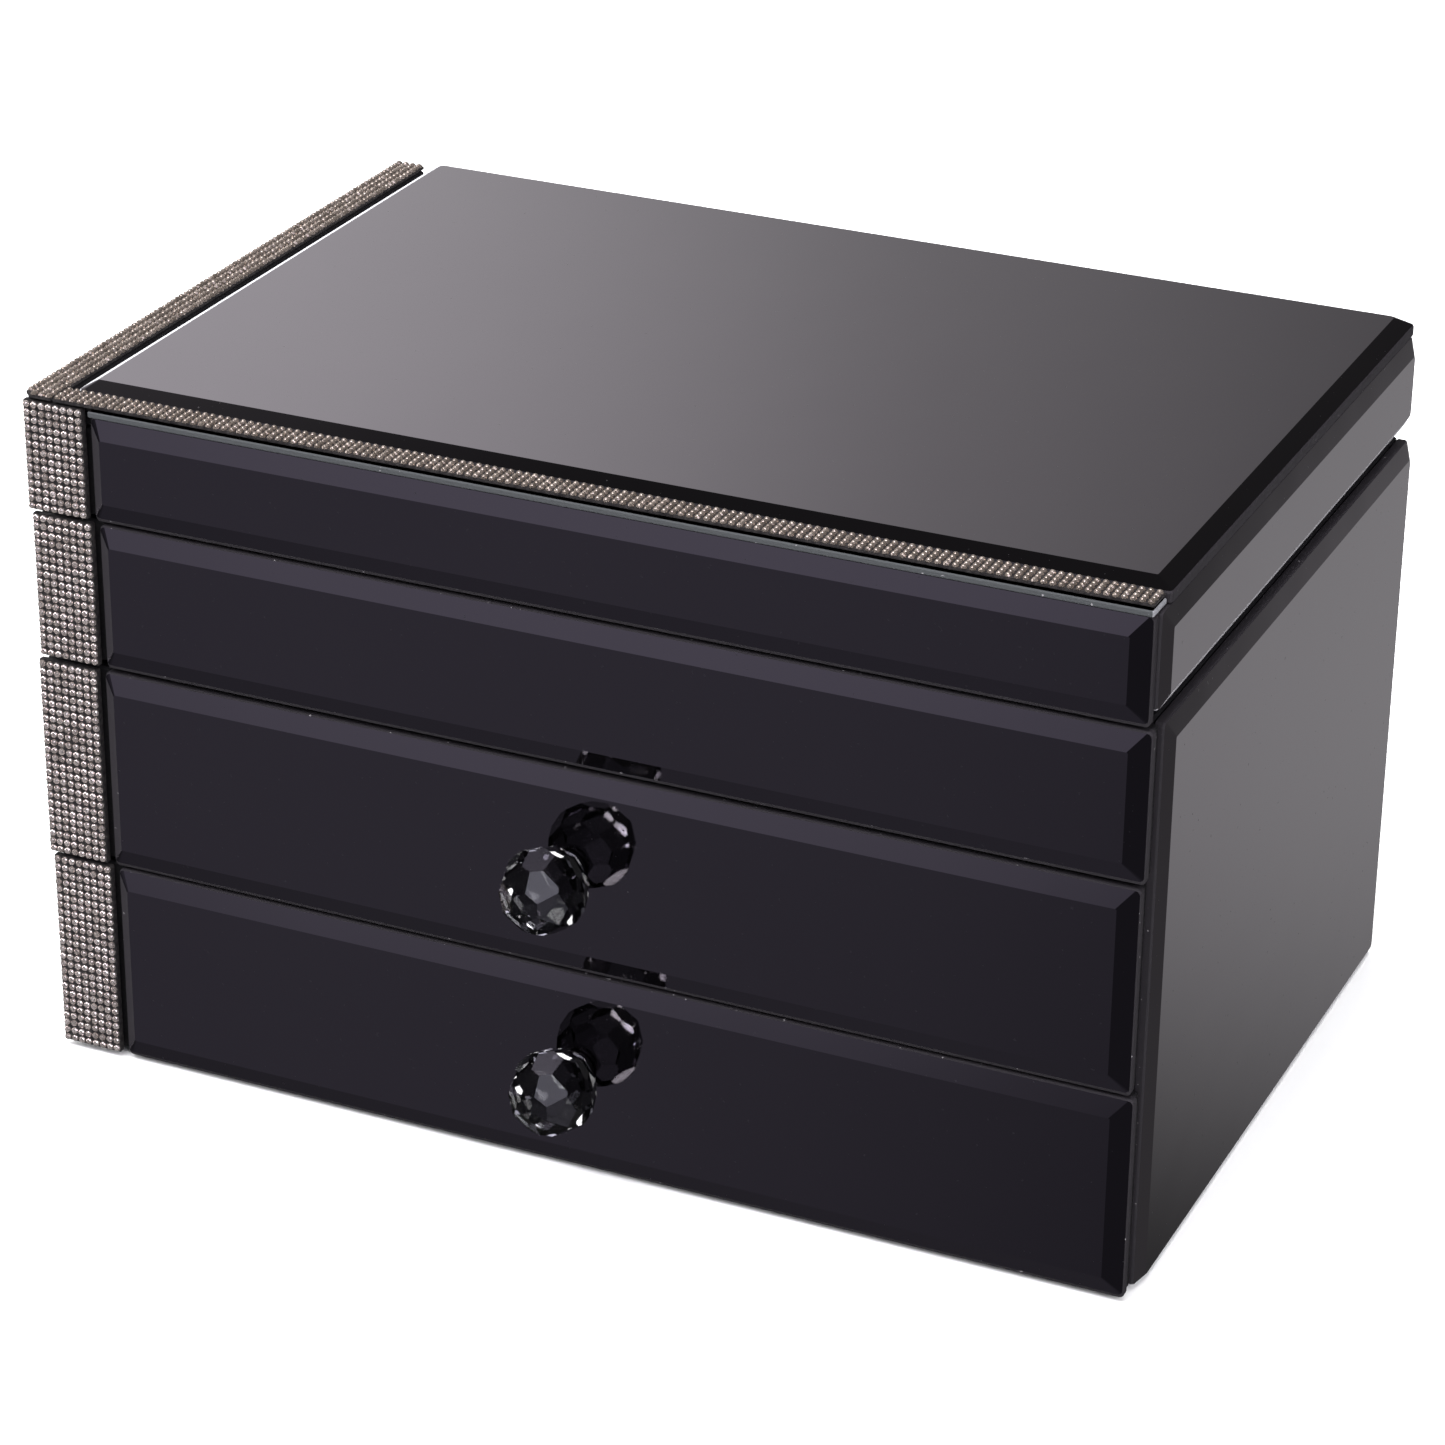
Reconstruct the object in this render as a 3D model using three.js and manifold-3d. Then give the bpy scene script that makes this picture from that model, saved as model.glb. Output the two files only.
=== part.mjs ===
// Tabletop jewelry chest clad in dark bevelled mirror glass.
//
// Four tiers: a rear-hinged lid, a fixed tray compartment and two drawers with faceted ball knobs.
// Millimetres, +Z up. The front faces -Y. The design is drawn with y = 0 at the front glass, and the
// whole chest is then moved so that the middle of its footprint is at the origin.

import * as THREE from 'three';
import Module from 'manifold-3d';
import { mergeVertices } from 'three/addons/utils/BufferGeometryUtils.js';
import { ConvexGeometry } from 'three/addons/geometries/ConvexGeometry.js';
import { ConvexHull } from 'three/addons/math/ConvexHull.js';

// Driving dimensions -------------------------------------------------------------------------

const BODY_WIDTH = 279.9;     // over the body's side glasses
const BODY_DEPTH = 185.7;     // front glass face to back board face
const TOP_HEIGHT = 172.9;     // top glass face above the table
const FRONT_WIDTH = 277.0;    // stones and glass of one front, end to end
const LID_WIDTH = 278.2;      // over the lid's side glasses

const GLASS = 3.6;            // thickness of the cladding glass
const LEDGE_GLASS = 1.5;      // thickness of the narrow ledge in front of the top glass
const BEVEL = 5.0;            // width of a polished bevel
const LEFT_BEVEL = 2.8;       // narrower bevel beside the stone columns
const BEVEL_DROP = 1.2;       // depth of a polished bevel
const CORNER = 1.1;           // corner radius of a glass plate
const GROUND = 0.5;           // ground edge of a glass plate where it has no polished bevel
const EDGE_SEAM = 0.25;       // dulled line between a bevel and the ground edge
const LOW_SEAM = 0.9;         // wider dulled line along the bottom of a front glass
const MATT_BEVEL = 2.6;       // narrow matt bevel, left on the top glass and below on the lid's sides
const ARRIS = 0.2;            // blunted rim at the back of a glass plate
const SEAM = 0.3;             // glue line or fitting gap between two pieces

const BOARD = 6.0;            // carcass and lid boards
const FRONT_BOARD = 2.8;      // boards behind the glass of the tray and the drawers
const THIN_BOARD = 3.0;       // shelves, drawer bottoms and tray dividers
const DRAWER_SIDE = 5.0;      // drawer sides and backs
const SOFT_EDGE = 0.5;        // blunted edge of a wrapped board

const STONE_COLUMN = 16.0;    // width of the stone column on each front
const STONE_STRIP = 8.0;      // width of the stone strips on the top
const STONE_BACKING = 2.5;    // thickness of a stone column with its backing
const STONE_RECESS = 0.3;     // stone backing behind the front glass face
const COLUMN_GAP = 2.1;       // black line between the stones and the glass
const LID_COLUMN_TOP = 170.2; // the lid's stone column covers the corner block's front
const STRIP_INSET = 1.1;      // front stone strip behind the ledge's front edge
const STRIP_TOP = 172.4;      // top face of the stone strips on the top
const TOP_GROOVE = 2.7;       // black groove between the left stone strip and the top glass

const FELT = 0.9;             // thickness of the felt strips under the base
const FELT_WIDTH = 14.0;
const BASE_BOTTOM = 1.2;      // underside of the base board
const PARTING = 142.8;        // underside of the lid's rails
const BODY_TOP = 142.1;       // rim of the body's boards
const FRONT_BACK = SEAM + GLASS + FRONT_BOARD;   // inner face of the tray and drawer front boards
const LID_FRONT_BACK = SEAM + GLASS + BOARD;     // inner face of the lid's front rail

// Each front: bottom and top edge, and how far it sits to the right of the middle.
const TIERS = {
  drawer_lower: { bottom: 0.9, top: 52.2, shift: 0.0 },
  drawer_upper: { bottom: 53.0, top: 104.2, shift: -0.95 },
  tray: { bottom: 105.4, top: 141.9, shift: -0.3 },
  lid: { bottom: 142.8, top: 168.7, columnTop: LID_COLUMN_TOP, shift: -1.25 },
};

const BODY_GLASS = { front: 7.0, bottom: 0.9, top: 141.8 };
const LID_GLASS = { front: 3.9, bottom: 145.6, top: 168.7 };
const LID_BOARD_TOP = 168.7;
const LID_TOP_BOARD = 3.7;
const LEDGE_DEPTH = 8.2;      // front to back size of the ledge glass
const LEDGE_RIGHT = 137.3;    // right end of the ledge glass

const SHELF_TOP = 54.1;       // shelf between the drawers
const TRAY_FLOOR_TOP = 108.2;
const DRAWER_DEPTH = 162.6;   // drawer box behind its front board
const DRAWER_PLAY = 1.0;      // clearance at each side of a drawer box
const DRAWERS = {
  drawer_lower: { boxBottom: 6.9, boxTop: 46.5, knobX: 2.6 },
  drawer_upper: { boxBottom: 55.0, boxTop: 98.0, knobX: 0.75 },
};

const KNOB = {
  radius: 9.6,                // to the middle of a facet
  centre: 12.3,               // ball centre in front of the glass
  rise: 1.4,                  // ball centre above the middle of its front
  seat: 8.8,                  // flat at the back of the ball, from its centre
  rings: [6, 10, 10, 6],      // facets in each ring, front to back
  collarRadius: 4.8, collarNeck: 3.9,
  screwRadius: 1.7, boreRadius: 2.1, headRadius: 3.6, headHeight: 1.6,
};

const HINGE = {
  axisBack: 2.5,              // axis behind the back board
  axisHeight: 142.45,
  spacing: 95.0,              // each hinge from the middle
  width: 28.0, leaf: 0.8, leafNear: 2.6, leafFar: 14.0,
  knuckle: 2.2, bore: 1.05, pin: 0.85, head: 1.5, knuckleGap: 0.3,
};

const MIRROR = 2.0;
const MIRROR_MARGIN = 2.0;
const DIVIDER_X = -30.0;      // divider that runs front to back
const DIVIDER_TOP = 136.0;
const ROLL = { width: 18.4, height: 21.0, count: 3 };

// Worked out from the above -------------------------------------------------------------------

const BODY_INNER = BODY_WIDTH / 2 - GLASS - SEAM;         // outer face of the side boards
const CAVITY = BODY_INNER - BOARD;                        // inner face of the side boards
const LID_OUTER = LID_WIDTH / 2 - GLASS - SEAM;           // outer face of the lid's rails
const BACK_FRONT = BODY_DEPTH - BOARD;                    // inner face of the back boards
const HINGE_Y = BODY_DEPTH + HINGE.axisBack;

// Materials -----------------------------------------------------------------------------------

const finish = (color, roughness, metalness) => () =>
  new THREE.MeshStandardMaterial({ color, roughness, metalness, flatShading: true });
const mirrorGlass = finish(0x26232a, 0.06, 0.5);
const clearMirror = finish(0xc8ccd0, 0.04, 1.0);
const wrappedBoard = finish(0x0e0d0f, 0.6, 0.0);
const velvet = finish(0x141216, 0.95, 0.0);
const felt = finish(0x1a1a1a, 0.95, 0.0);
const stones = finish(0x91857d, 0.25, 0.8);
const crystal = finish(0xdfe3e8, 0.02, 0.0);
const nickel = finish(0xb9b4ad, 0.25, 1.0);

// Shapes --------------------------------------------------------------------------------------

const { Manifold, Mesh: SolidMesh } = await (async () => {
  const wasm = await Module();
  wasm.setup();
  return wasm;
})();

function toSolid(geometry) {
  const bare = geometry.clone();
  bare.deleteAttribute('normal');
  bare.deleteAttribute('uv');
  const merged = mergeVertices(bare);
  return new Manifold(new SolidMesh({
    numProp: 3,
    vertProperties: new Float32Array(merged.attributes.position.array),
    triVerts: new Uint32Array(merged.index.array),
  }));
}

function fromSolid(solid) {
  const { vertProperties, triVerts } = solid.getMesh();
  const geometry = new THREE.BufferGeometry();
  geometry.setAttribute('position', new THREE.BufferAttribute(new Float32Array(vertProperties), 3));
  geometry.setIndex(new THREE.BufferAttribute(new Uint32Array(triVerts), 1));
  geometry.computeVertexNormals();
  return geometry;
}

// Outline of a rectangle whose four corners are rounded, anticlockwise, as [x, y] points.
function roundedOutline(x0, x1, y0, y1, radii, steps) {
  const corners = [[x1, y0, -0.5], [x1, y1, 0], [x0, y1, 0.5], [x0, y0, 1]];
  return corners.flatMap(([x, y, turn], index) => {
    const radius = radii[index];
    const cx = x - radius * Math.sign(x - (x0 + x1) / 2);
    const cy = y - radius * Math.sign(y - (y0 + y1) / 2);
    return Array.from({ length: steps + 1 }, (_, step) => {
      const angle = Math.PI * (turn + 0.5 * step / steps);
      return [cx + radius * Math.cos(angle), cy + radius * Math.sin(angle)];
    });
  });
}

// Closed solid through a stack of convex outlines that all have as many points.
function loft(levels) {
  const count = levels[0].outline.length;
  const positions = levels.flatMap(({ outline, z }) => outline.flatMap(([x, y]) => [x, y, z]));
  const faces = [];
  for (let level = 0; level + 1 < levels.length; level += 1) {
    for (let i = 0; i < count; i += 1) {
      const a = level * count + i;
      const b = level * count + (i + 1) % count;
      faces.push(a, b, b + count, a, b + count, a + count);
    }
  }
  const top = (levels.length - 1) * count;
  for (let i = 1; i + 1 < count; i += 1) {
    faces.push(0, i + 1, i, top, top + i, top + i + 1);
  }
  const geometry = new THREE.BufferGeometry();
  geometry.setAttribute('position', new THREE.Float32BufferAttribute(positions, 3));
  geometry.setIndex(faces);
  geometry.computeVertexNormals();
  return geometry;
}

// Board with blunted edges, centred on its own origin.
function board(width, depth, height, blunt = SOFT_EDGE) {
  const outline = (inset) => {
    const [x, y] = [width / 2 - inset, depth / 2 - inset];
    return roundedOutline(-x, x, -y, y, Array(4).fill(blunt - inset / 2), 1);
  };
  return loft([
    { z: -height / 2, outline: outline(blunt) },
    { z: -height / 2 + blunt, outline: outline(0) },
    { z: height / 2 - blunt, outline: outline(0) },
    { z: height / 2, outline: outline(blunt) },
  ]);
}

// Glass plate lying in XY with its polished face up. Bevels: widths on the right, far, left, near side.
function bevelledGlass(width, length, thickness, bevels, nearSeam = null) {
  const [right, far, left, near] = bevels;
  const [x, y] = [width / 2, length / 2];
  const pairs = [[near, right], [right, far], [far, left], [left, near]];
  const flatRadii = pairs.map(([a, b]) => (a > GROUND && b > GROUND ? CORNER / 3 : CORNER));
  const full = roundedOutline(-x, x, -y, y, Array(4).fill(CORNER), 3);
  const back = roundedOutline(-x + ARRIS, x - ARRIS, -y + ARRIS, y - ARRIS, Array(4).fill(CORNER), 3);
  const seam = (bevel) => Math.min(EDGE_SEAM, bevel / 4);
  const dulled = roundedOutline(-x + seam(left), x - seam(right), -y + (nearSeam ?? seam(near)),
    y - seam(far), Array(4).fill(CORNER), 3);
  const flat = roundedOutline(-x + left, x - right, -y + near, y - far, flatRadii, 3);
  return loft([
    { z: 0, outline: back },
    { z: ARRIS, outline: full },
    { z: thickness - BEVEL_DROP - GROUND, outline: full },
    { z: thickness - BEVEL_DROP, outline: dulled },
    { z: thickness, outline: flat },
  ]);
}

// Ball whose facets touch a sphere, in rings around its Z axis, with a wider flat seat at -Z.
function facetedBall() {
  const planes = [{ polar: 0, turn: 0, distance: KNOB.radius }];
  KNOB.rings.forEach((count, ring) => {
    const polar = Math.PI * (ring + 1) / (KNOB.rings.length + 1);
    for (let i = 0; i < count; i += 1) {
      planes.push({ polar, turn: 2 * Math.PI * (i + 0.5 * (ring % 2)) / count, distance: KNOB.radius });
    }
  });
  planes.push({ polar: Math.PI, turn: 0, distance: KNOB.seat });
  const duals = planes.map(({ polar, turn, distance }) =>
    new THREE.Vector3(
      Math.sin(polar) * Math.cos(turn),
      Math.sin(polar) * Math.sin(turn),
      Math.cos(polar),
    ).divideScalar(distance));
  const corners = new Map();
  for (const face of new ConvexHull().setFromPoints(duals).faces) {
    const corner = face.normal.clone().divideScalar(face.constant);
    corners.set(corner.toArray().map((value) => value.toFixed(2)).join(), corner);
  }
  return new ConvexGeometry([...corners.values()]);
}

// Solid of revolution about Y from [radius, y] pairs that start and end on the axis.
const turned = (profile, steps) =>
  new THREE.LatheGeometry(profile.map(([radius, y]) => new THREE.Vector2(radius, y)), steps);

// Hinge leaf: a plate with knuckles that wrap the X axis. side is -1 for the leaf below the axis.
function hingeLeaf(side, knuckles) {
  const plateHeight = HINGE.leafFar - HINGE.leafNear;
  const plate = new THREE.BoxGeometry(HINGE.width, HINGE.leaf, plateHeight);
  const plateY = -HINGE.axisBack + SEAM + HINGE.leaf / 2;
  plate.translate(0, plateY, side * (HINGE.leafNear + plateHeight / 2));
  let solid = toSolid(plate);
  for (const [x0, x1] of knuckles) {
    const along = (geometry) => geometry.rotateZ(-Math.PI / 2).translate((x0 + x1) / 2, 0, 0);
    const barrel = along(new THREE.CylinderGeometry(HINGE.knuckle, HINGE.knuckle, x1 - x0, 20));
    const tab = new THREE.BoxGeometry(x1 - x0, HINGE.leaf, HINGE.leafNear + 1);
    tab.translate((x0 + x1) / 2, plateY, side * (HINGE.leafNear + 1) / 2);
    solid = solid.add(toSolid(barrel)).add(toSolid(tab));
  }
  const bore = new THREE.CylinderGeometry(HINGE.bore, HINGE.bore, HINGE.width + 2, 16);
  return fromSolid(solid.subtract(toSolid(bore.rotateZ(-Math.PI / 2))));
}

// Removes the knob screw's bore from a piece that spans it. The bore runs along the piece's Y or Z.
function withScrewBore(geometry, alongZ, x, other) {
  const bore = new THREE.CylinderGeometry(KNOB.boreRadius, KNOB.boreRadius, 40, 16);
  if (alongZ) bore.rotateX(Math.PI / 2);
  bore.translate(x, alongZ ? other : 0, alongZ ? 0 : other);
  return fromSolid(toSolid(geometry).subtract(toSolid(bore)));
}

// Placing -------------------------------------------------------------------------------------

const chest = new THREE.Group();

function add(name, geometry, material, x = 0, y = 0, z = 0) {
  const mesh = new THREE.Mesh(geometry, material());
  mesh.name = name;
  mesh.position.set(x, y, z);
  chest.add(mesh);
  return mesh;
}

// Board that fills the box between two corners.
function addBoard(name, material, [x0, x1], [y0, y1], [z0, z1], blunt = SOFT_EDGE) {
  const geometry = board(x1 - x0, y1 - y0, z1 - z0, blunt);
  return add(name, geometry, material, (x0 + x1) / 2, (y0 + y1) / 2, (z0 + z1) / 2);
}

// Turns a plate that lies in XY so that its polished face looks to the front, right or left.
const FACING = {
  front: new THREE.Euler(Math.PI / 2, 0, 0),
  right: new THREE.Euler(Math.PI / 2, 0, Math.PI / 2, 'ZXY'),
  left: new THREE.Euler(Math.PI / 2, 0, -Math.PI / 2, 'ZXY'),
};

// Glass, stone column and board of one front -----------------------------------------------------

function frontGlassSpan(tier) {
  const left = tier.shift - FRONT_WIDTH / 2;
  return [left + STONE_COLUMN + COLUMN_GAP, left + FRONT_WIDTH];
}

// A front with a knob has the screw's bore at knobX.
function addFront(prefix, tier, knobX = null) {
  const left = tier.shift - FRONT_WIDTH / 2;
  const [glassLeft, glassRight] = frontGlassSpan(tier);
  const middle = (tier.bottom + tier.top) / 2;
  const height = tier.top - tier.bottom;
  const glassMiddle = (glassLeft + glassRight) / 2;

  const bevels = [BEVEL, BEVEL, LEFT_BEVEL, BEVEL];
  let glass = bevelledGlass(glassRight - glassLeft, height, GLASS, bevels, LOW_SEAM);
  if (knobX !== null) glass = withScrewBore(glass, true, knobX - glassMiddle, KNOB.rise);
  const pane = add(`${prefix}_front_glass`, glass, mirrorGlass, glassMiddle, GLASS, middle);
  pane.rotation.copy(FACING.front);

  const columnLeft = Math.max(left, -BODY_WIDTH / 2 + SEAM);
  addBoard(`${prefix}_front_stones`, stones, [columnLeft, left + STONE_COLUMN],
    [STONE_RECESS, STONE_RECESS + STONE_BACKING], [tier.bottom, tier.columnTop ?? tier.top], 0.3);
}

// Board behind the glass and the stones of one front, a little smaller than both together.
function addFrontBoard(name, tier, knobX = null) {
  const height = tier.top - tier.bottom - 0.4;
  let panel = board(FRONT_WIDTH - 1.2, FRONT_BOARD, height);
  if (knobX !== null) panel = withScrewBore(panel, false, knobX - tier.shift, KNOB.rise);
  const y = SEAM + GLASS + FRONT_BOARD / 2;
  add(name, panel, wrappedBoard, tier.shift, y, (tier.bottom + tier.top) / 2);
}

// Carcass -----------------------------------------------------------------------------------------

function addCarcass() {
  const inside = [-CAVITY + SEAM, CAVITY - SEAM];
  const behindFronts = [FRONT_BACK + SEAM, BACK_FRONT - SEAM];
  addBoard('base_board', wrappedBoard, inside, behindFronts, [BASE_BOTTOM, BASE_BOTTOM + 5]);
  addBoard('drawer_shelf_board', wrappedBoard, inside, behindFronts,
    [SHELF_TOP - THIN_BOARD, SHELF_TOP]);
  addBoard('tray_floor_board', wrappedBoard, inside, behindFronts,
    [TRAY_FLOOR_TOP - THIN_BOARD, TRAY_FLOOR_TOP]);
  addBoard('back_board', wrappedBoard, [-BODY_INNER, BODY_INNER], [BACK_FRONT, BODY_DEPTH],
    [BASE_BOTTOM, BODY_TOP]);
  for (const [name, sign] of [['left', -1], ['right', 1]]) {
    const span = sign < 0 ? [-BODY_INNER, -CAVITY] : [CAVITY, BODY_INNER];
    addBoard(`side_board_${name}`, wrappedBoard, span, behindFronts, [BASE_BOTTOM, BODY_TOP]);
    const feltX = sign * (CAVITY - FELT_WIDTH);
    addBoard(`felt_strip_${name}`, felt, [feltX - FELT_WIDTH / 2, feltX + FELT_WIDTH / 2],
      [FRONT_BACK + 6, BACK_FRONT - 6], [0, FELT], 0.2);
    addSideGlass(`side_glass_${name}`, sign, BODY_WIDTH / 2, BODY_GLASS, GROUND);
  }
  addFrontBoard('tray_front_board', TIERS.tray);
  addFront('tray', TIERS.tray);
}

// Side glass with its polished bevels at the front and top.
function addSideGlass(name, sign, outerX, { front, bottom, top }, low) {
  const length = BODY_DEPTH - front;
  const bevels = sign > 0 ? [GROUND, BEVEL, BEVEL, low] : [BEVEL, BEVEL, GROUND, low];
  const pane = add(name, bevelledGlass(length, top - bottom, GLASS, bevels), mirrorGlass,
    sign * (outerX - GLASS), (front + BODY_DEPTH) / 2, (top + bottom) / 2);
  pane.rotation.copy(sign > 0 ? FACING.right : FACING.left);
}

// Tray fittings -----------------------------------------------------------------------------------

function addTray() {
  const floor = TRAY_FLOOR_TOP + SEAM;
  const front = FRONT_BACK + SEAM;
  const rollsDepth = ROLL.count * ROLL.width + (ROLL.count + 1) * SEAM;
  const crossY = front + rollsDepth;
  addBoard('tray_divider_long', velvet, [DIVIDER_X, DIVIDER_X + THIN_BOARD],
    [front, BACK_FRONT - SEAM], [floor, DIVIDER_TOP]);
  addBoard('tray_divider_cross', velvet, [-CAVITY + SEAM, DIVIDER_X - SEAM],
    [crossY, crossY + THIN_BOARD], [floor, DIVIDER_TOP]);
  const length = DIVIDER_X + CAVITY - 4 * SEAM;
  for (let i = 0; i < ROLL.count; i += 1) {
    const radius = ROLL.width / 2;
    const outline = roundedOutline(-radius, radius, 0, ROLL.height,
      [1, radius - 0.1, radius - 0.1, 1], 6);
    const shape = new THREE.Shape(outline.map(([x, y]) => new THREE.Vector2(x, y)));
    const roll = new THREE.ExtrudeGeometry(shape, { depth: length, bevelEnabled: false });
    const mesh = add(`ring_roll_${i + 1}`, roll, velvet, -CAVITY + 2 * SEAM,
      front + SEAM + radius + i * (ROLL.width + SEAM), floor);
    mesh.rotation.copy(FACING.right);
  }
}

// Lid ---------------------------------------------------------------------------------------------

function addLid() {
  const railTop = LID_BOARD_TOP - LID_TOP_BOARD - SEAM;
  const rails = [PARTING, railTop];
  const outer = [-LID_OUTER, LID_OUTER];
  const inner = LID_OUTER - BOARD;
  addBoard('lid_top_board', wrappedBoard, outer, [SEAM + GLASS, BODY_DEPTH],
    [LID_BOARD_TOP - LID_TOP_BOARD, LID_BOARD_TOP]);
  addBoard('lid_front_rail', wrappedBoard, outer, [SEAM + GLASS, LID_FRONT_BACK], rails);
  addBoard('lid_back_rail', wrappedBoard, outer, [BACK_FRONT, BODY_DEPTH], rails);
  const between = [LID_FRONT_BACK + SEAM, BACK_FRONT - SEAM];
  addBoard('lid_left_rail', wrappedBoard, [-LID_OUTER, -inner], between, rails);
  addBoard('lid_right_rail', wrappedBoard, [inner, LID_OUTER], between, rails);
  const margin = inner - MIRROR_MARGIN;
  addBoard('lid_mirror', clearMirror, [-margin, margin],
    [between[0] + MIRROR_MARGIN, between[1] - MIRROR_MARGIN], [railTop - MIRROR, railTop], 0.3);

  addFront('lid', TIERS.lid);
  addSideGlass('lid_side_glass_left', -1, LID_WIDTH / 2, LID_GLASS, MATT_BEVEL);
  addSideGlass('lid_side_glass_right', 1, LID_WIDTH / 2, LID_GLASS, MATT_BEVEL);
  addLidTop();
}

// Top glass, ledge glass and the stone strips that make an L around the front left corner. The
// strips lie on a thin black batten and on the ledge.
function addLidTop() {
  const bottom = LID_BOARD_TOP + SEAM;
  const right = LID_WIDTH / 2 - 0.8;
  const stripLeft = -BODY_WIDTH / 2;
  const stripRight = stripLeft + STONE_STRIP;
  const glassLeft = stripRight + TOP_GROOVE;
  const glassFront = LEDGE_DEPTH + SEAM;
  const top = bevelledGlass(right - glassLeft, BODY_DEPTH - glassFront, TOP_HEIGHT - bottom,
    [BEVEL, GROUND, MATT_BEVEL, BEVEL]);
  add('lid_top_glass', top, mirrorGlass,
    (glassLeft + right) / 2, (glassFront + BODY_DEPTH) / 2, bottom);

  const [ledgeLeft] = frontGlassSpan(TIERS.lid);
  const ledge = [bottom, bottom + LEDGE_GLASS];
  const strip = [ledge[1] + SEAM, STRIP_TOP];
  addBoard('lid_ledge_glass', mirrorGlass, [ledgeLeft, LEDGE_RIGHT], [0, LEDGE_DEPTH], ledge, 0.3);
  addBoard('lid_corner_block', wrappedBoard, [stripLeft + SEAM, ledgeLeft - SEAM],
    [STONE_RECESS + STONE_BACKING + SEAM, LEDGE_DEPTH], ledge);
  addBoard('lid_left_batten', wrappedBoard, [stripLeft + SEAM, stripRight],
    [glassFront, BODY_DEPTH], ledge);
  addBoard('lid_top_stones_front', stones, [stripRight + SEAM, LEDGE_RIGHT - SEAM],
    [STRIP_INSET, LEDGE_DEPTH], strip, 0.2);
  addBoard('lid_top_stones_left', stones, [stripLeft, stripRight],
    [STRIP_INSET, BODY_DEPTH], strip, 0.4);
}

// Hinges ------------------------------------------------------------------------------------------

function addHinge(name, x) {
  const half = HINGE.width / 2;
  const middle = half / 3;
  const gap = HINGE.knuckleGap / 2;
  const outer = [[-half, -middle - gap], [middle + gap, half]];
  const place = [x, HINGE_Y, HINGE.axisHeight];
  add(`hinge_leaf_body_${name}`, hingeLeaf(-1, outer), nickel, ...place);
  add(`hinge_leaf_lid_${name}`, hingeLeaf(1, [[-middle + gap, middle - gap]]), nickel, ...place);
  const end = half + SEAM;
  const pin = turned([[0, -end - 0.8], [HINGE.head, -end - 0.8], [HINGE.head, -end],
    [HINGE.pin, -end], [HINGE.pin, end], [HINGE.head, end], [HINGE.head, end + 0.8],
    [0, end + 0.8]], 16);
  add(`hinge_pin_${name}`, pin, nickel, ...place).rotation.z = -Math.PI / 2;
}

// Drawers -----------------------------------------------------------------------------------------

function addDrawer(name, { boxBottom, boxTop, knobX }) {
  const tier = TIERS[name];
  addFront(name, tier, knobX);
  addFrontBoard(`${name}_front_board`, tier, knobX);
  const outer = CAVITY - DRAWER_PLAY;
  const inner = outer - DRAWER_SIDE;
  const front = FRONT_BACK + SEAM;
  const back = front + DRAWER_DEPTH;
  addBoard(`${name}_side_left`, wrappedBoard, [-outer, -inner], [front, back], [boxBottom, boxTop]);
  addBoard(`${name}_side_right`, wrappedBoard, [inner, outer], [front, back], [boxBottom, boxTop]);
  const between = [-inner + SEAM, inner - SEAM];
  addBoard(`${name}_back`, wrappedBoard, between, [back - DRAWER_SIDE, back], [boxBottom, boxTop]);
  addBoard(`${name}_bottom`, wrappedBoard, between, [front, back - DRAWER_SIDE - SEAM],
    [boxBottom, boxBottom + THIN_BOARD]);
  addKnob(name, knobX, (tier.bottom + tier.top) / 2 + KNOB.rise);
}

// Faceted ball on a turned collar, held by a screw from inside the drawer.
function addKnob(name, x, z) {
  const { radius, centre, seat, collarRadius, collarNeck, screwRadius, boreRadius } = KNOB;
  const ball = add(`${name}_knob_ball`, facetedBall(), crystal, x, -centre, z);
  ball.rotation.copy(FACING.front);

  const collarFront = centre - seat - SEAM;
  const collar = turned([[0, collarFront], [0, SEAM + 1.6], [boreRadius, SEAM + 1.6],
    [boreRadius, SEAM], [collarRadius, SEAM], [collarRadius, SEAM + 0.8],
    [collarNeck, collarFront - 0.4], [collarNeck, collarFront], [0, collarFront]].slice(1), 24);
  add(`${name}_knob_collar`, collar, nickel, x, 0, z).rotation.x = Math.PI;

  const tip = SEAM + 1.3;
  const headFace = -FRONT_BACK - SEAM;
  const { headRadius, headHeight } = KNOB;
  const screw = turned([[0, headFace - headHeight], [headRadius * 0.6, headFace - headHeight],
    [headRadius, headFace - headHeight * 0.4], [headRadius, headFace], [screwRadius, headFace],
    [screwRadius, tip], [0, tip]], 20);
  add(`${name}_knob_screw`, screw, nickel, x, 0, z).rotation.x = Math.PI;
}

// Assembly ----------------------------------------------------------------------------------------

addCarcass();
addTray();
addLid();
addHinge('left', -HINGE.spacing);
addHinge('right', HINGE.spacing);
for (const [name, box] of Object.entries(DRAWERS)) addDrawer(name, box);

const frontmost = -KNOB.centre - KNOB.radius;
const rearmost = HINGE_Y + HINGE.knuckle;
chest.position.set(0, -(frontmost + rearmost) / 2, 0);

export default chest;
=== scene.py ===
# %% [markdown]
# # A tabletop jewelry chest in dark mirror glass
# The real chest is a black box of four tiers, clad in bevelled dark mirror glass, with a column of
# small metallic stones down the left of the front and two strips of them on the lid. The frame of
# boards, glasses, knobs and hinges is loaded ready made, and this file gives it its finishes, its
# stones and its velvet. Everything is in metres, with the front looking along -Y.

import math
import random

import bmesh
import bpy
from mathutils import Matrix, Vector


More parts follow.
